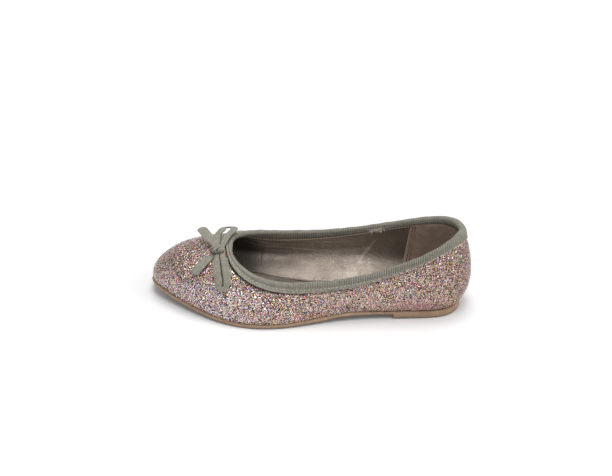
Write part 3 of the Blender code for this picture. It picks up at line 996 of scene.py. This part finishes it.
def heel_lining():
    """Heel panel over the quarter lining, from one slanting front edge to the other, waving slowly."""
    side, part = np.meshgrid(np.linspace(-1, 1, 150), np.linspace(.04, 1.96, 60), indexing="ij")
    around = side * heel_edge(part)
    point, off = inside_frame(around, part)
    height = HEEL_LIFT + slow_waves(around * HEEL_RIB, run_lengths(point), HEEL_WAVES)
    height = height - HEEL_TUCK * smooth_step(.16, .05, part)
    piece = surface("heel_lining", (point + off * height[..., None])[:, ::-1], SUEDE)
    thicken(piece, HEEL_THICK)


# Sole and insole

def edge_at(reach, share):
    """Lateral and medial edge of the feather outline moved out by reach, at shares from back to toe."""
    sides = []
    for start, end in ((0, TOE_RIB), (len(RIBS), TOE_RIB)):
        points, _, out = outline(np.linspace(start, end, 900))
        edge = (points + reach * out)[:, :2]
        sides.append(edge[np.argsort(edge[:, 0])])
    back, toe = sides[0][-1, 0], sides[0][0, 0]
    x = back + (toe - back) * share
    return x, np.interp(x, *sides[0].T), np.interp(x, *sides[1].T)


def edge_lines(reach, share, column, lift, on_floor=False):
    """Lateral and medial line of points past the feather edge, lifted off the sole's top or underside."""
    x, lateral, medial = edge_at(reach, share)
    height = np.where(on_floor, 0, sole_height(0.5 - x / LENGTH, column)) + lift
    return [np.stack([x, side, height], -1) for side in (lateral, medial)]


def between(lateral, medial, columns):
    """Points from one line to the other without the lines themselves, and their shares of the way."""
    part = np.linspace(0, 1, columns)[1:-1]
    return part, lateral[:, None] * (1 - part)[:, None] + medial[:, None] * part[:, None]


def cross_sections(lines, middle):
    """Sections across the shoe: the lateral lines, the points between, and the medial lines back again."""
    lateral, medial = zip(*lines)
    return np.concatenate([np.stack(lateral, 1), middle, np.stack(medial[::-1], 1)], 1)


def stations(heel_count, fore_count):
    """Shares from back to toe, close together at both round ends, with the heel's breast given twice."""
    trim = .008
    heel = BREAST * (1 - np.cos(np.linspace(trim, pi / 2, heel_count)))
    fore = BREAST + (1 - BREAST) * np.sin(np.linspace(0, pi / 2 - trim, fore_count))
    return np.concatenate([heel, fore]), np.arange(heel_count + fore_count) < heel_count


# Points across the middle of the sole and the insole, with the two edges
MIDDLE_COLUMNS = 15
# Edge of the sole from its top inwards to its tread: reach past the feather edge, lift off its top or
# underside, and how dark it is: painted shade on the lower edge, dirt on the tread
SOLE_EDGE = [
    # reach  from    lift (mm)  shade and dirt
    (-5.0,   TOP,   -0.20,      .0),
    (0.20,   TOP,    0.00,      .0),
    (0.60,   TOP,   -0.18,      .0),
    (0.82,   TOP,   -0.55,      .0),
    (0.90,   TOP,   -1.30,      .0),
    (0.90,   UNDER,  1.30,      .1),
    (0.75,   UNDER,  0.60,      .5),
    (0.40,   UNDER,  0.18,      .8),
    (-0.40,  UNDER,  0.00,      .8),
]
TREAD_PITCH = 3.2 * MM
TREAD_DEPTH = .35 * MM
# Edge of the insole from its foot to its top: inset and lift
SOCK_EDGE = [
    (0.00,      GAP),
    (0.00,      INSOLE_THICK * .55),
    (0.35 * MM, INSOLE_THICK * .85),
    (1.20 * MM, INSOLE_THICK),
]
SOCK_CROWN = .5 * MM


def moulded_sole():
    """Moulded unit: sections across the shoe, rounded at both edges, with shallow grooves in the tread."""
    share, in_heel = stations(90, 330)
    lines = [
        edge_lines(reach * MM, share, column, lift * MM, in_heel & (column == UNDER))
        for reach, column, lift, _ in SOLE_EDGE]
    lateral, medial = lines[-1]
    part, tread = between(lateral, medial, MIDDLE_COLUMNS)
    groove = smooth_step(.3, .8, np.cos(2 * pi * tread[..., 0] / TREAD_PITCH))
    inset = np.minimum(part, 1 - part) * np.abs(medial - lateral)[:, 1:2]
    tread[..., 2] += TREAD_DEPTH * groove * smooth_step(4 * MM, 6 * MM, inset)
    sections = cross_sections(lines, tread)
    piece = surface("moulded_sole", sections, SOLE, wraps=(False, True), caps=True)
    # Painted shade on the lower edge rows, dirt on the tread
    dirt_and_shade = [row[3] for row in SOLE_EDGE]
    give_values(piece, "under", spread(dirt_and_shade + dirt_and_shade[-1:] * len(part) + dirt_and_shade[::-1], len(share)))
    face_out(piece)
    piece.data.set_sharp_from_angle(angle=radians(50))
    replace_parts(piece, "outsole")


def sock_pad():
    """Padded insole: sections across the shoe with a crowned top that turns down at the edge."""
    heel_count = 50
    share, _ = stations(heel_count, 130)
    share = np.delete(share, heel_count)
    lines = [edge_lines(-INSOLE_INSET - inset, share, TOP, lift) for inset, lift in SOCK_EDGE]
    part, top = between(*lines[-1], MIDDLE_COLUMNS)
    top[..., 2] += SOCK_CROWN * (1 - (2 * part - 1)**4)
    piece = surface("sock_pad", cross_sections(lines, top), SOCK, wraps=(False, True), caps=True)
    face_out(piece)
    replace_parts(piece, "insole")


# Binding and stitches

def roll_drop(around):
    """How far below the topline the middle of the roll lies."""
    return by_rib(ROLL_DROP, around) * MM


def leaf_frame(around, share, width):
    """Wall points, outward directions and climb at a share of a leaf of the binding, from the roll down."""
    drop = roll_drop(around)
    below = drop + share * (by_rib(width, around) * MM - drop)
    return wall_frame(around, 1 - below / climb_per_rise(around))


def outer_leaf(around, share):
    """Points on the outside of the wall under the outer leaf, the way off them and the climb."""
    return leaf_frame(around, share, LEAF_WIDTH)


def inner_leaf(around, share):
    """Points on the inside of the wall under the inner leaf, the way off them and the climb."""
    point, out, climb = leaf_frame(around, share, INNER_WIDTH)
    return point - out * WALL, -out, climb


def flange_side(around, wave, pull, gather):
    """Outside of the binding: its points, where its ribs are, and the share of its cells with glitter.

    The height over the wall follows the flange table. Ribs are added down to the roll's reach, where the
    groove of the table is filled. The flange below is drawn down at each stitch and waves a little.
    """
    share, height = smooth_rows(FLANGE, FLANGE_ROWS).T
    on_top = np.arange(FLANGE_ROWS) > FLANGE_FOOT
    place = np.broadcast_to(around[:, None], (len(around), FLANGE_ROWS))
    point, out, _ = outer_leaf(place, spread(share, len(around)))
    reach = by_rib(ROLL_REACH, around)[:, None]
    on_roll = smooth_step(reach + .05, reach - .07, share)
    on_flange = smooth_step(reach - .02, reach + .10, share) * on_top
    lift = by_rib(EDGE_LIFT, around)[:, None] * smooth_step(.72, 1, share)
    filled = (reach - min(ROLL_REACH)) * np.exp(-((share - .42) / .18)**2) * on_top
    height = (height + lift + filled) * MM + RIB_HEIGHT * wave * on_roll + gather * on_flange * 2
    height = height - STITCH_PULL * pull * np.exp(-((share - STITCH_SHARE) / .08)**2) * on_flange
    wear_and_painted_light = by_rib(WORN_FLANGE, around)[:, None] * smooth_step(reach, reach + .14, share)
    return point + out * height[..., None], on_roll, wear_and_painted_light


def roll_top(around, wave, gather, inner_height):
    """Half turn over the wall's edge, from the flange's height outside to the leaf's inside, with ribs."""
    point, out, climb = outer_leaf(around, np.zeros_like(around))
    middle = (point - out * WALL / 2)[:, None]
    turn = np.linspace(0, pi, 11)[1:-1]
    blend = (1 - np.cos(turn)) / 2
    radius = WALL / 2 + FLANGE[-1][1] * MM * (1 - blend) + inner_height * blend
    radius = radius + RIB_HEIGHT * wave + gather
    around_edge = np.cos(turn)[:, None] * out[:, None] + np.sin(turn)[:, None] * climb[:, None]
    return middle + radius[..., None] * around_edge


def leaf_side(around, wave, inner_height):
    """Inside of the binding, the leaf: its points, how its ribs fade downwards, and its painted shade.

    It is slack where it is thin, and tapers at its lower edge.
    """
    down = np.linspace(0, 1, 9)
    place = np.broadcast_to(around[:, None], (len(around), len(down)))
    point, way_in, _ = inner_leaf(place, spread(down, len(around)))
    thick, least = max(INNER_HEIGHT) * MM, min(INNER_HEIGHT) * MM
    thin = (thick - inner_height) / (thick - least)
    bulge = 1 - .25 * down + .5 * np.sin(pi * down) * thin
    height = inner_height * bulge * smooth_step(1.02, .9, down) + RIB_HEIGHT * wave * (1 - down)
    shade = by_rib(INNER_SHADE, around)[:, None] * smooth_step(.1, .6, down)
    return point + way_in * height[..., None], 1 - down * .5, shade


def rolled_binding():
    """Ribbed tape rolled over the topline: a section of flange side, roll top and leaf side carried along it.

    Ribs are a cosine along the topline. The UV map counts them and gives their strength. Attributes: one for
    the glitter on the flange, and fold, the painted shade on the inner leaf.
    """
    whole = TOPLINE_RUN[-1]
    ribs = round(whole / RIB_PITCH)
    count = ribs * RIB_STEPS
    around = even_around(count, 1)
    run = np.arange(count) * whole / count
    ribbed = by_rib(RIB_STRENGTH, around)[:, None]
    wave = np.cos(2 * pi * run / (whole / ribs))[:, None] * ribbed
    stitches = round(whole / STITCH_PITCH)
    pull = (.5 + .5 * np.cos(2 * pi * run / (whole / stitches)))[:, None]
    gather = slow_waves(run, 0, BINDING_WAVES)[:, None]
    inner_height = by_rib(INNER_HEIGHT, around)[:, None] * MM
    outer, on_roll, wear_and_painted_light = flange_side(around, wave, pull, gather)
    top = roll_top(around, wave, gather, inner_height)
    inner, fading, shade = leaf_side(around, wave, inner_height)
    full = np.ones(top.shape[:2])
    strength = np.concatenate([on_roll, full, spread(fading, count)], 1) * ribbed
    strength = np.append(strength, strength[:1], 0)
    strength = np.append(strength, strength[:, :1], 1)
    rib_count = np.broadcast_to(np.arange(count + 1)[:, None] / RIB_STEPS, strength.shape)
    points = np.concatenate([outer, top, inner], 1)
    uv = np.stack([rib_count, strength], -1)
    piece = surface("rolled_binding", points, RIBBED_TAPE, (True, True), uv)
    give_values(piece, "wear_and_painted_light", np.concatenate([wear_and_painted_light, 0 * full, 0 * shade], 1))
    # Painted shade on the inner leaf's lower half
    give_values(piece, "fold", np.concatenate([0 * wear_and_painted_light, 0 * full, shade], 1))
    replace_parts(piece, "topline_binding")


# Rows of thread: length and radius of a stitch, the height at which it sits, and where the row runs
FLANGE_STITCH = (2.0 * MM, .32 * MM)
FLANGE_SEAT = .74 * MM
FLANGE_SUNK = .7 * MM
LINING_STITCH = (2.3 * MM, .36 * MM)
LINING_SEAT = .8 * MM
LINING_SHARE = 1.13
LINING_PITCH = 2.4 * MM
HEEL_STITCH = (1.4 * MM, .38 * MM)
HEEL_SEAT = 1.4 * MM
# Both rows of the heel lining, in ribs behind its front edge, and the fold of that edge
HEEL_ROWS = (.046, .098)
FOLD_RADIUS = .7 * MM
FOLD_SEAT = 1.0 * MM


def threads(name, paths, radius, material):
    """Thin round threads along paths (thread, step, xyz), thinner at both ends, joined in one mesh."""
    sides = 6
    count, steps = paths.shape[:2]
    run = unit(np.gradient(paths, axis=1))
    across = unit(np.cross(run, np.array([.31, .22, .93])))
    up = np.cross(across, run)
    part = np.linspace(-1, 1, steps)
    turn = np.linspace(0, 2 * pi, sides, endpoint=False)
    girth = (radius * (1 - .75 * part**4))[:, None, None]
    rings = (paths[:, :, None] + girth * np.cos(turn)[:, None] * across[:, :, None]
             + girth * np.sin(turn)[:, None] * up[:, :, None])
    row, column = grid_corners(steps, sides, (False, True))
    first = np.arange(count)[:, None] * steps * sides
    faces = (first[..., None] + row * sides + column % sides).reshape(-1, 4).tolist()
    ends = first + np.arange(sides)
    faces += ends[:, ::-1].tolist() + (ends + (steps - 1) * sides).tolist()
    face_out(add_piece(name, rings, faces, material))


def stitch_row(name, middle, run, up, length, radius, material):
    """Short stitches along their run, each arched up in its middle and sunk at both ends."""
    part = np.linspace(-1, 1, 7)[:, None]
    paths = middle[:, None] + run[:, None] * part * length / 2 + up[:, None] * radius * (.5 - 1.3 * part**2)
    threads(name, paths, radius, material)


def heelwards(around):
    """Unit way along the topline towards lower rib numbers."""
    ones = np.ones_like(around)
    return unit(wall(around - .01, ones) - wall(around + .01, ones))


def along_topline(pitch):
    """Places around the shoe a pitch apart along the topline, half a pitch from the seam."""
    whole = TOPLINE_RUN[-1]
    count = round(whole / pitch)
    return np.interp((np.arange(count) + .5) * whole / count, TOPLINE_RUN, FINE_AROUND)


def binding_stitches():
    """Row of thread along the flange, sunk where glitter has worked into it."""
    around = along_topline(STITCH_PITCH)
    point, out, _ = outer_leaf(around, np.full_like(around, STITCH_SHARE))
    lift = FLANGE_SEAT - FLANGE_SUNK * by_rib(WORN_FLANGE, around)[:, None]
    stitch_row("binding_stitches", point + out * lift, -heelwards(around), out, *FLANGE_STITCH, THREAD)


def lining_stitches():
    """Cream thread below the inner leaf along both quarters, where binding and lining are sewn together."""
    around = along_topline(LINING_PITCH)
    around = around[(around > HEEL_EDGE_TOP) & (around < len(RIBS) - HEEL_EDGE_TOP)]
    point, way_in, _ = inner_leaf(around, np.full_like(around, LINING_SHARE))
    middle = point + way_in * LINING_SEAT
    stitch_row("lining_stitches", middle, -heelwards(around), way_in, *LINING_STITCH, CREAM_THREAD)


def heel_seam_stitches():
    """A folded pale edge down each slanting front of the heel lining, and two rows of thread behind it."""
    part, side = np.meshgrid(np.linspace(.1, 1.9, 60), (-1, 1), indexing="ij")
    point, off = inside_frame(side * heel_edge(part), part)
    threads("heel_seam_edge", np.moveaxis(point + off * FOLD_SEAT, 1, 0), FOLD_RADIUS, TAN_THREAD)
    part, back, side = np.meshgrid(np.linspace(.16, 1.8, 26), HEEL_ROWS, (-1, 1), indexing="ij")
    point, off = inside_frame(side * (heel_edge(part) - back), part)
    step = .01
    down = unit(inside(side * (heel_edge(part + step) - back), part + step) - point)
    rows = [array.reshape(-1, 3) for array in (point + off * HEEL_SEAT, down, off)]
    stitch_row("heel_seam_stitches", *rows, *HEEL_STITCH, BROWN_THREAD)


# Ragged end of the lapped tape: wave length (mm), no slant, start (turns), depth (thousandths of the lap)
FRAY_WAVES = [(3.1, 1e6, .2, 90), (5.3, 1e6, .5, 110), (1.7, 1e6, .8, 60)]
LAP_THICK = .5 * MM
# Loose yarns: how many, their radius, and the height over the wall at which they start
YARNS = 34
YARN_RADIUS = .16 * MM
YARN_SEAT = 1.3 * MM


def frayed_join():
    """Join of the binding inside the medial quarter: a lapped end of the tape, ragged and raised below."""
    along, share = np.meshgrid(np.linspace(-1, 1, 41), np.linspace(.0, .6, 14), indexing="ij")
    share = share * (1.12 + slow_waves(along * 8 * MM, 0, FRAY_WAVES))
    point, way_in, _ = inner_leaf(JOIN_RIB + along * JOIN_HALF, share)
    height = (1.1 + .9 * smooth_step(.3, .75, share) * (.6 + .4 * np.cos(along * 5))) * MM
    height = height * (1 - .75 * along**8)
    piece = surface("frayed_join", (point + way_in * height[..., None])[:, ::-1], TAPE)
    thicken(piece, LAP_THICK)


def frayed_yarns():
    """Loose yarns of the join: each starts on the lapped tape, leans its own way and curls by a square."""
    chance = np.random.default_rng(7)
    forward = chance.uniform(-.3, 1.25, YARNS)
    share = chance.uniform(.0, .40, YARNS)
    around = JOIN_RIB - forward * JOIN_HALF
    point, way_in, climb = inner_leaf(around, share)
    way = heelwards(around) * chance.uniform(-.4, 1.6, (YARNS, 1))
    way = way - climb * chance.uniform(-.1, .30, (YARNS, 1))
    way = way + way_in * chance.uniform(.1, .5, (YARNS, 1))
    curl = chance.uniform(-.35, .35, (YARNS, 3))
    step = np.linspace(0, 1, 8)[:, None]
    length = chance.uniform(1.6, 4.0, YARNS)[:, None, None] * MM
    bend = unit(way)[:, None] * step + curl[:, None] * step**2
    paths = (point + way_in * YARN_SEAT)[:, None] + length * bend
    threads("frayed_yarns", paths, YARN_RADIUS, YARN)


# Bow

# Slow waves of the tape, as for the lining, and the knot's folds
BOW_WAVES = [(7.3, 9, .2, .05), (11, -14, .6, .06)]
KNOT_FOLDS = [
    # start  slope  depth  width
    (-.30,   .62,   .60,   .08),
    (.40,    .50,   .55,   .08),
]


def rounded(values, power):
    """Values raised to a power with their signs kept: below 1 it turns a circle into a rounded square."""
    return np.sign(values) * np.abs(values)**power


def vamp_spot(x, y):
    """Rib number and rise of the vamp under points of the plan: nearest of a grid, then tangent steps."""
    around, rise = np.meshgrid(np.linspace(4, 12, 97), np.linspace(.1, 1, 37), indexing="ij")
    around, rise = around.ravel(), rise.ravel()
    target = np.stack([x, y], -1)
    nearest = np.linalg.norm(wall(around, rise)[:, :2] - target[:, None], axis=-1).argmin(1)
    around, rise = around[nearest], rise[nearest]
    step = 1e-3
    for _ in range(8):
        miss = target - wall(around, rise)[:, :2]
        by_around = (wall(around + step, rise) - wall(around - step, rise))[:, :2] / (2 * step)
        by_rise = (wall(around, rise + step) - wall(around, rise - step))[:, :2] / (2 * step)
        move = np.linalg.solve(np.stack([by_around, by_rise], -1), miss[..., None])[..., 0]
        around = around + np.clip(move[:, 0], -.3, .3)
        rise = rise + np.clip(move[:, 1], -.1, .1)
    return around, rise


def vamp_ground(forward, out):
    """Vamp points and outward directions at places forward and out (mm) from the knot."""
    x = x_of(KNOT_ALONG) - forward * MM
    y = KNOT_SIDE * BALL_WIDTH - out * MM
    point, way_out, _ = wall_frame(*vamp_spot(x, y))
    return point, way_out


def loop_path(rows):
    """A petal: out along the toe-side leg, round a half turn where the tape stands on edge, and back."""
    out, toe_leg, heel_leg, lift, width = smooth_rows(rows, 46).T
    way = np.sign(out[-1])
    there = np.stack([toe_leg, out, lift, width], -1)
    back = np.stack([heel_leg, out, lift, width], -1)[::-1]
    turn = np.linspace(0, pi, 25)[1:-1]
    narrow = width[-1] - (width[-1] - TIP_WIDTH) * np.sin(turn)**2
    half = (toe_leg[-1] - heel_leg[-1]) / 2
    radius = half + (width[-1] - narrow) / 2
    ahead = heel_leg[-1] + half + radius * rounded(np.cos(turn), .8)
    aside = out[-1] + way * radius * rounded(np.sin(turn), .8)
    tip = np.stack([ahead, aside, np.full_like(turn, lift[-1]), narrow], -1)
    return np.concatenate([there, tip, back])


def bow_ribbon(name, path, shaded_side=0):
    """Folded tape along a path of rows (forward, out, lift, width).

    Its section is a flat rounded bar, a little higher in the middle and with a shallow fold line along its
    top, carried over the vamp with its flat side down. The edge on one side, -1 or 1, gets painted shade
    through the attribute fold.
    """
    ground, up = vamp_ground(path[:, 0], path[:, 1])
    middle = ground + up * (path[:, 2:3] + BOW_TAPE / 2) * MM
    run = unit(np.gradient(middle, axis=0))
    across = unit(np.cross(run, up))
    up = np.cross(across, run)
    turn = np.linspace(0, 2 * pi, 28, endpoint=False)
    wide = rounded(np.cos(turn), .6)
    high = rounded(np.sin(turn), .8)
    high = high * (1 - .35 * np.exp(-(wide / .16)**2) * (high > 0)) + .35 * (1 - wide**2)
    far = run_lengths(middle[None])[0][:, None]
    wavy = slow_waves(far, wide * 3 * MM, BOW_WAVES)
    points = (middle[:, None] + across[:, None] * (wide * path[:, 3:4] * MM / 2)[..., None]
              + up[:, None] * (high * BOW_TAPE * MM / 2 + wavy)[..., None])
    piece = surface(name + "_tape", points, TAPE, wraps=(False, True), caps=True)
    # Painted shade along the edge beside the loop's slit
    give_values(piece, "fold", spread(.9 * smooth_step(.75, 1, shaded_side * wide), len(path)))
    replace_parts(face_out(piece), name)


def bow_knot():
    """Knot: rings along the shoe, full in the middle, with slanting folds sunk into its top."""
    part = np.sin(np.linspace(-pi / 2 + .02, pi / 2 - .02, 41))
    turn = np.linspace(0, 2 * pi, 48, endpoint=False)
    ring = (1 - np.abs(part)**2.6)**.5
    wide = rounded(np.cos(turn), .8)
    high = rounded(np.sin(turn), .8)
    on_top = high > -.3
    fold = np.zeros((len(part), len(turn)))
    for start, slope, depth, width in KNOT_FOLDS:
        fold += depth * np.exp(-((part[:, None] - start - slope * wide) / width)**2)
    girth = ring[:, None] * (1 - fold * on_top)
    ground, up = vamp_ground(np.zeros(1), np.zeros(1))
    centre = ground[0] + up[0] * KNOT_LIFT * MM
    half = np.array(KNOT_HALF) * MM
    lengthwise = np.broadcast_to(part[:, None], girth.shape)
    points = centre + np.stack([lengthwise, girth * wide, girth * high], -1) * half
    piece = surface("bow_knot_tape", points, TAPE, wraps=(False, True), caps=True)
    # Painted shade in the folds
    give_values(piece, "fold", np.clip(fold * 1.5 * on_top, 0, .95))
    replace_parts(face_out(piece), "bow_knot")


def bow():
    """Two loops and two tails of narrow tape, gathered under a knot."""
    bow_ribbon("bow_loop_lateral", loop_path(LOOP_LATERAL), -1)
    bow_ribbon("bow_loop_medial", loop_path(LOOP_MEDIAL), 1)
    for name, rows in (("bow_tail_lateral", TAIL_LATERAL), ("bow_tail_medial", TAIL_MEDIAL)):
        tail = smooth_rows(rows, 60)
        tail[:, 3] *= 1 - .5 * np.linspace(0, 1, 60)**30
        bow_ribbon(name, tail)
    bow_knot()


# Stage

def camera():
    """Camera at the photo's angle, placed so that the last's origin shows at its pixel."""
    turn, tilt = radians(AZIMUTH), radians(ELEVATION)
    back = Vector((sin(turn) * cos(tilt), -cos(turn) * cos(tilt), sin(tilt)))
    right = Vector((cos(turn), sin(turn), 0))
    up = back.cross(right)
    aside = (ORIGIN_PIXEL[0] - PHOTO_SIZE[0] / 2) / FOCAL_PIXELS * DISTANCE
    above = (PHOTO_SIZE[1] / 2 - ORIGIN_PIXEL[1]) / FOCAL_PIXELS * DISTANCE
    data = bpy.data.cameras.new("camera")
    data.sensor_width = SENSOR_MM
    data.lens = FOCAL_PIXELS * SENSOR_MM / PHOTO_SIZE[0]
    view = bpy.data.objects.new("camera", data)
    place = Vector(SHIFT) + back * DISTANCE - right * aside - up * above
    view.matrix_world = Matrix.Translation(place) @ Matrix((right, up, back)).transposed().to_4x4()
    bpy.context.scene.collection.objects.link(view)
    bpy.context.scene.camera = view


# Soft boxes: each faces the shoe; place and size in metres, power in watts
LIGHTS = [
    # light      place              size  power
    ("overhead", (.00, .45, 2.05),  1.0,  17),
    ("right",    (1.5, -.30, 1.30),  .8,   9),
    ("front",    (.10, -.75, 2.05),  .7,   9.5),
]
FLOOR_HALF = 12
WHITE = (1, 1, 1, 1)


def softbox(name, place, size, power):
    """A square area light that faces the shoe."""
    data = bpy.data.lights.new(name, "AREA")
    data.size = size
    data.energy = power
    light = bpy.data.objects.new(name, data)
    light.location = place
    light.rotation_mode = "QUATERNION"
    light.rotation_quaternion = (-Vector(place)).to_track_quat("-Z", "Y")
    bpy.context.scene.collection.objects.link(light)


def white_floor():
    """A wide white floor just below the sole, glowing faintly so that it stays white to its edges."""
    material, tree, sockets, place = new_material(
        "floor", .9, Specular_IOR_Level=.1, Emission_Color=WHITE, Emission_Strength=.05)
    feed(tree, sockets, Base_Color=mix(tree, mottle(tree, place, 6, 0, 1), *FLOOR_TONES))
    corners = [(x * FLOOR_HALF, y * FLOOR_HALF, -GAP) for x, y in ((-1, -1), (1, -1), (1, 1), (-1, 1))]
    mesh = bpy.data.meshes.new("floor")
    mesh.from_pydata(corners, [], [(0, 1, 2, 3)])
    mesh.materials.append(material)
    floor = bpy.data.objects.new("floor", mesh)
    bpy.context.scene.collection.objects.link(floor)


def surround():
    """A pale surround that is brighter overhead."""
    world = bpy.data.worlds.new("studio")
    world.use_nodes = True
    tree = world.node_tree
    sockets = tree.nodes["Background"].inputs
    height = axes(tree, add(tree, "ShaderNodeTexCoord").outputs["Generated"])["Z"]
    feed(tree, sockets, Strength=map_range(tree, height, .05, .95, .30, .60))
    sockets["Color"].default_value = WHITE
    bpy.context.scene.world = world


def studio():
    """White floor, pale surround, and soft boxes above and in front."""
    white_floor()
    surround()
    for light in LIGHTS:
        softbox(*light)
    bpy.context.scene.view_settings.view_transform = "Standard"


glitter_upper()
quarter_lining()
heel_lining()
moulded_sole()
sock_pad()
rolled_binding()
binding_stitches()
lining_stitches()
heel_seam_stitches()
frayed_join()
frayed_yarns()
bow()
studio()
camera()
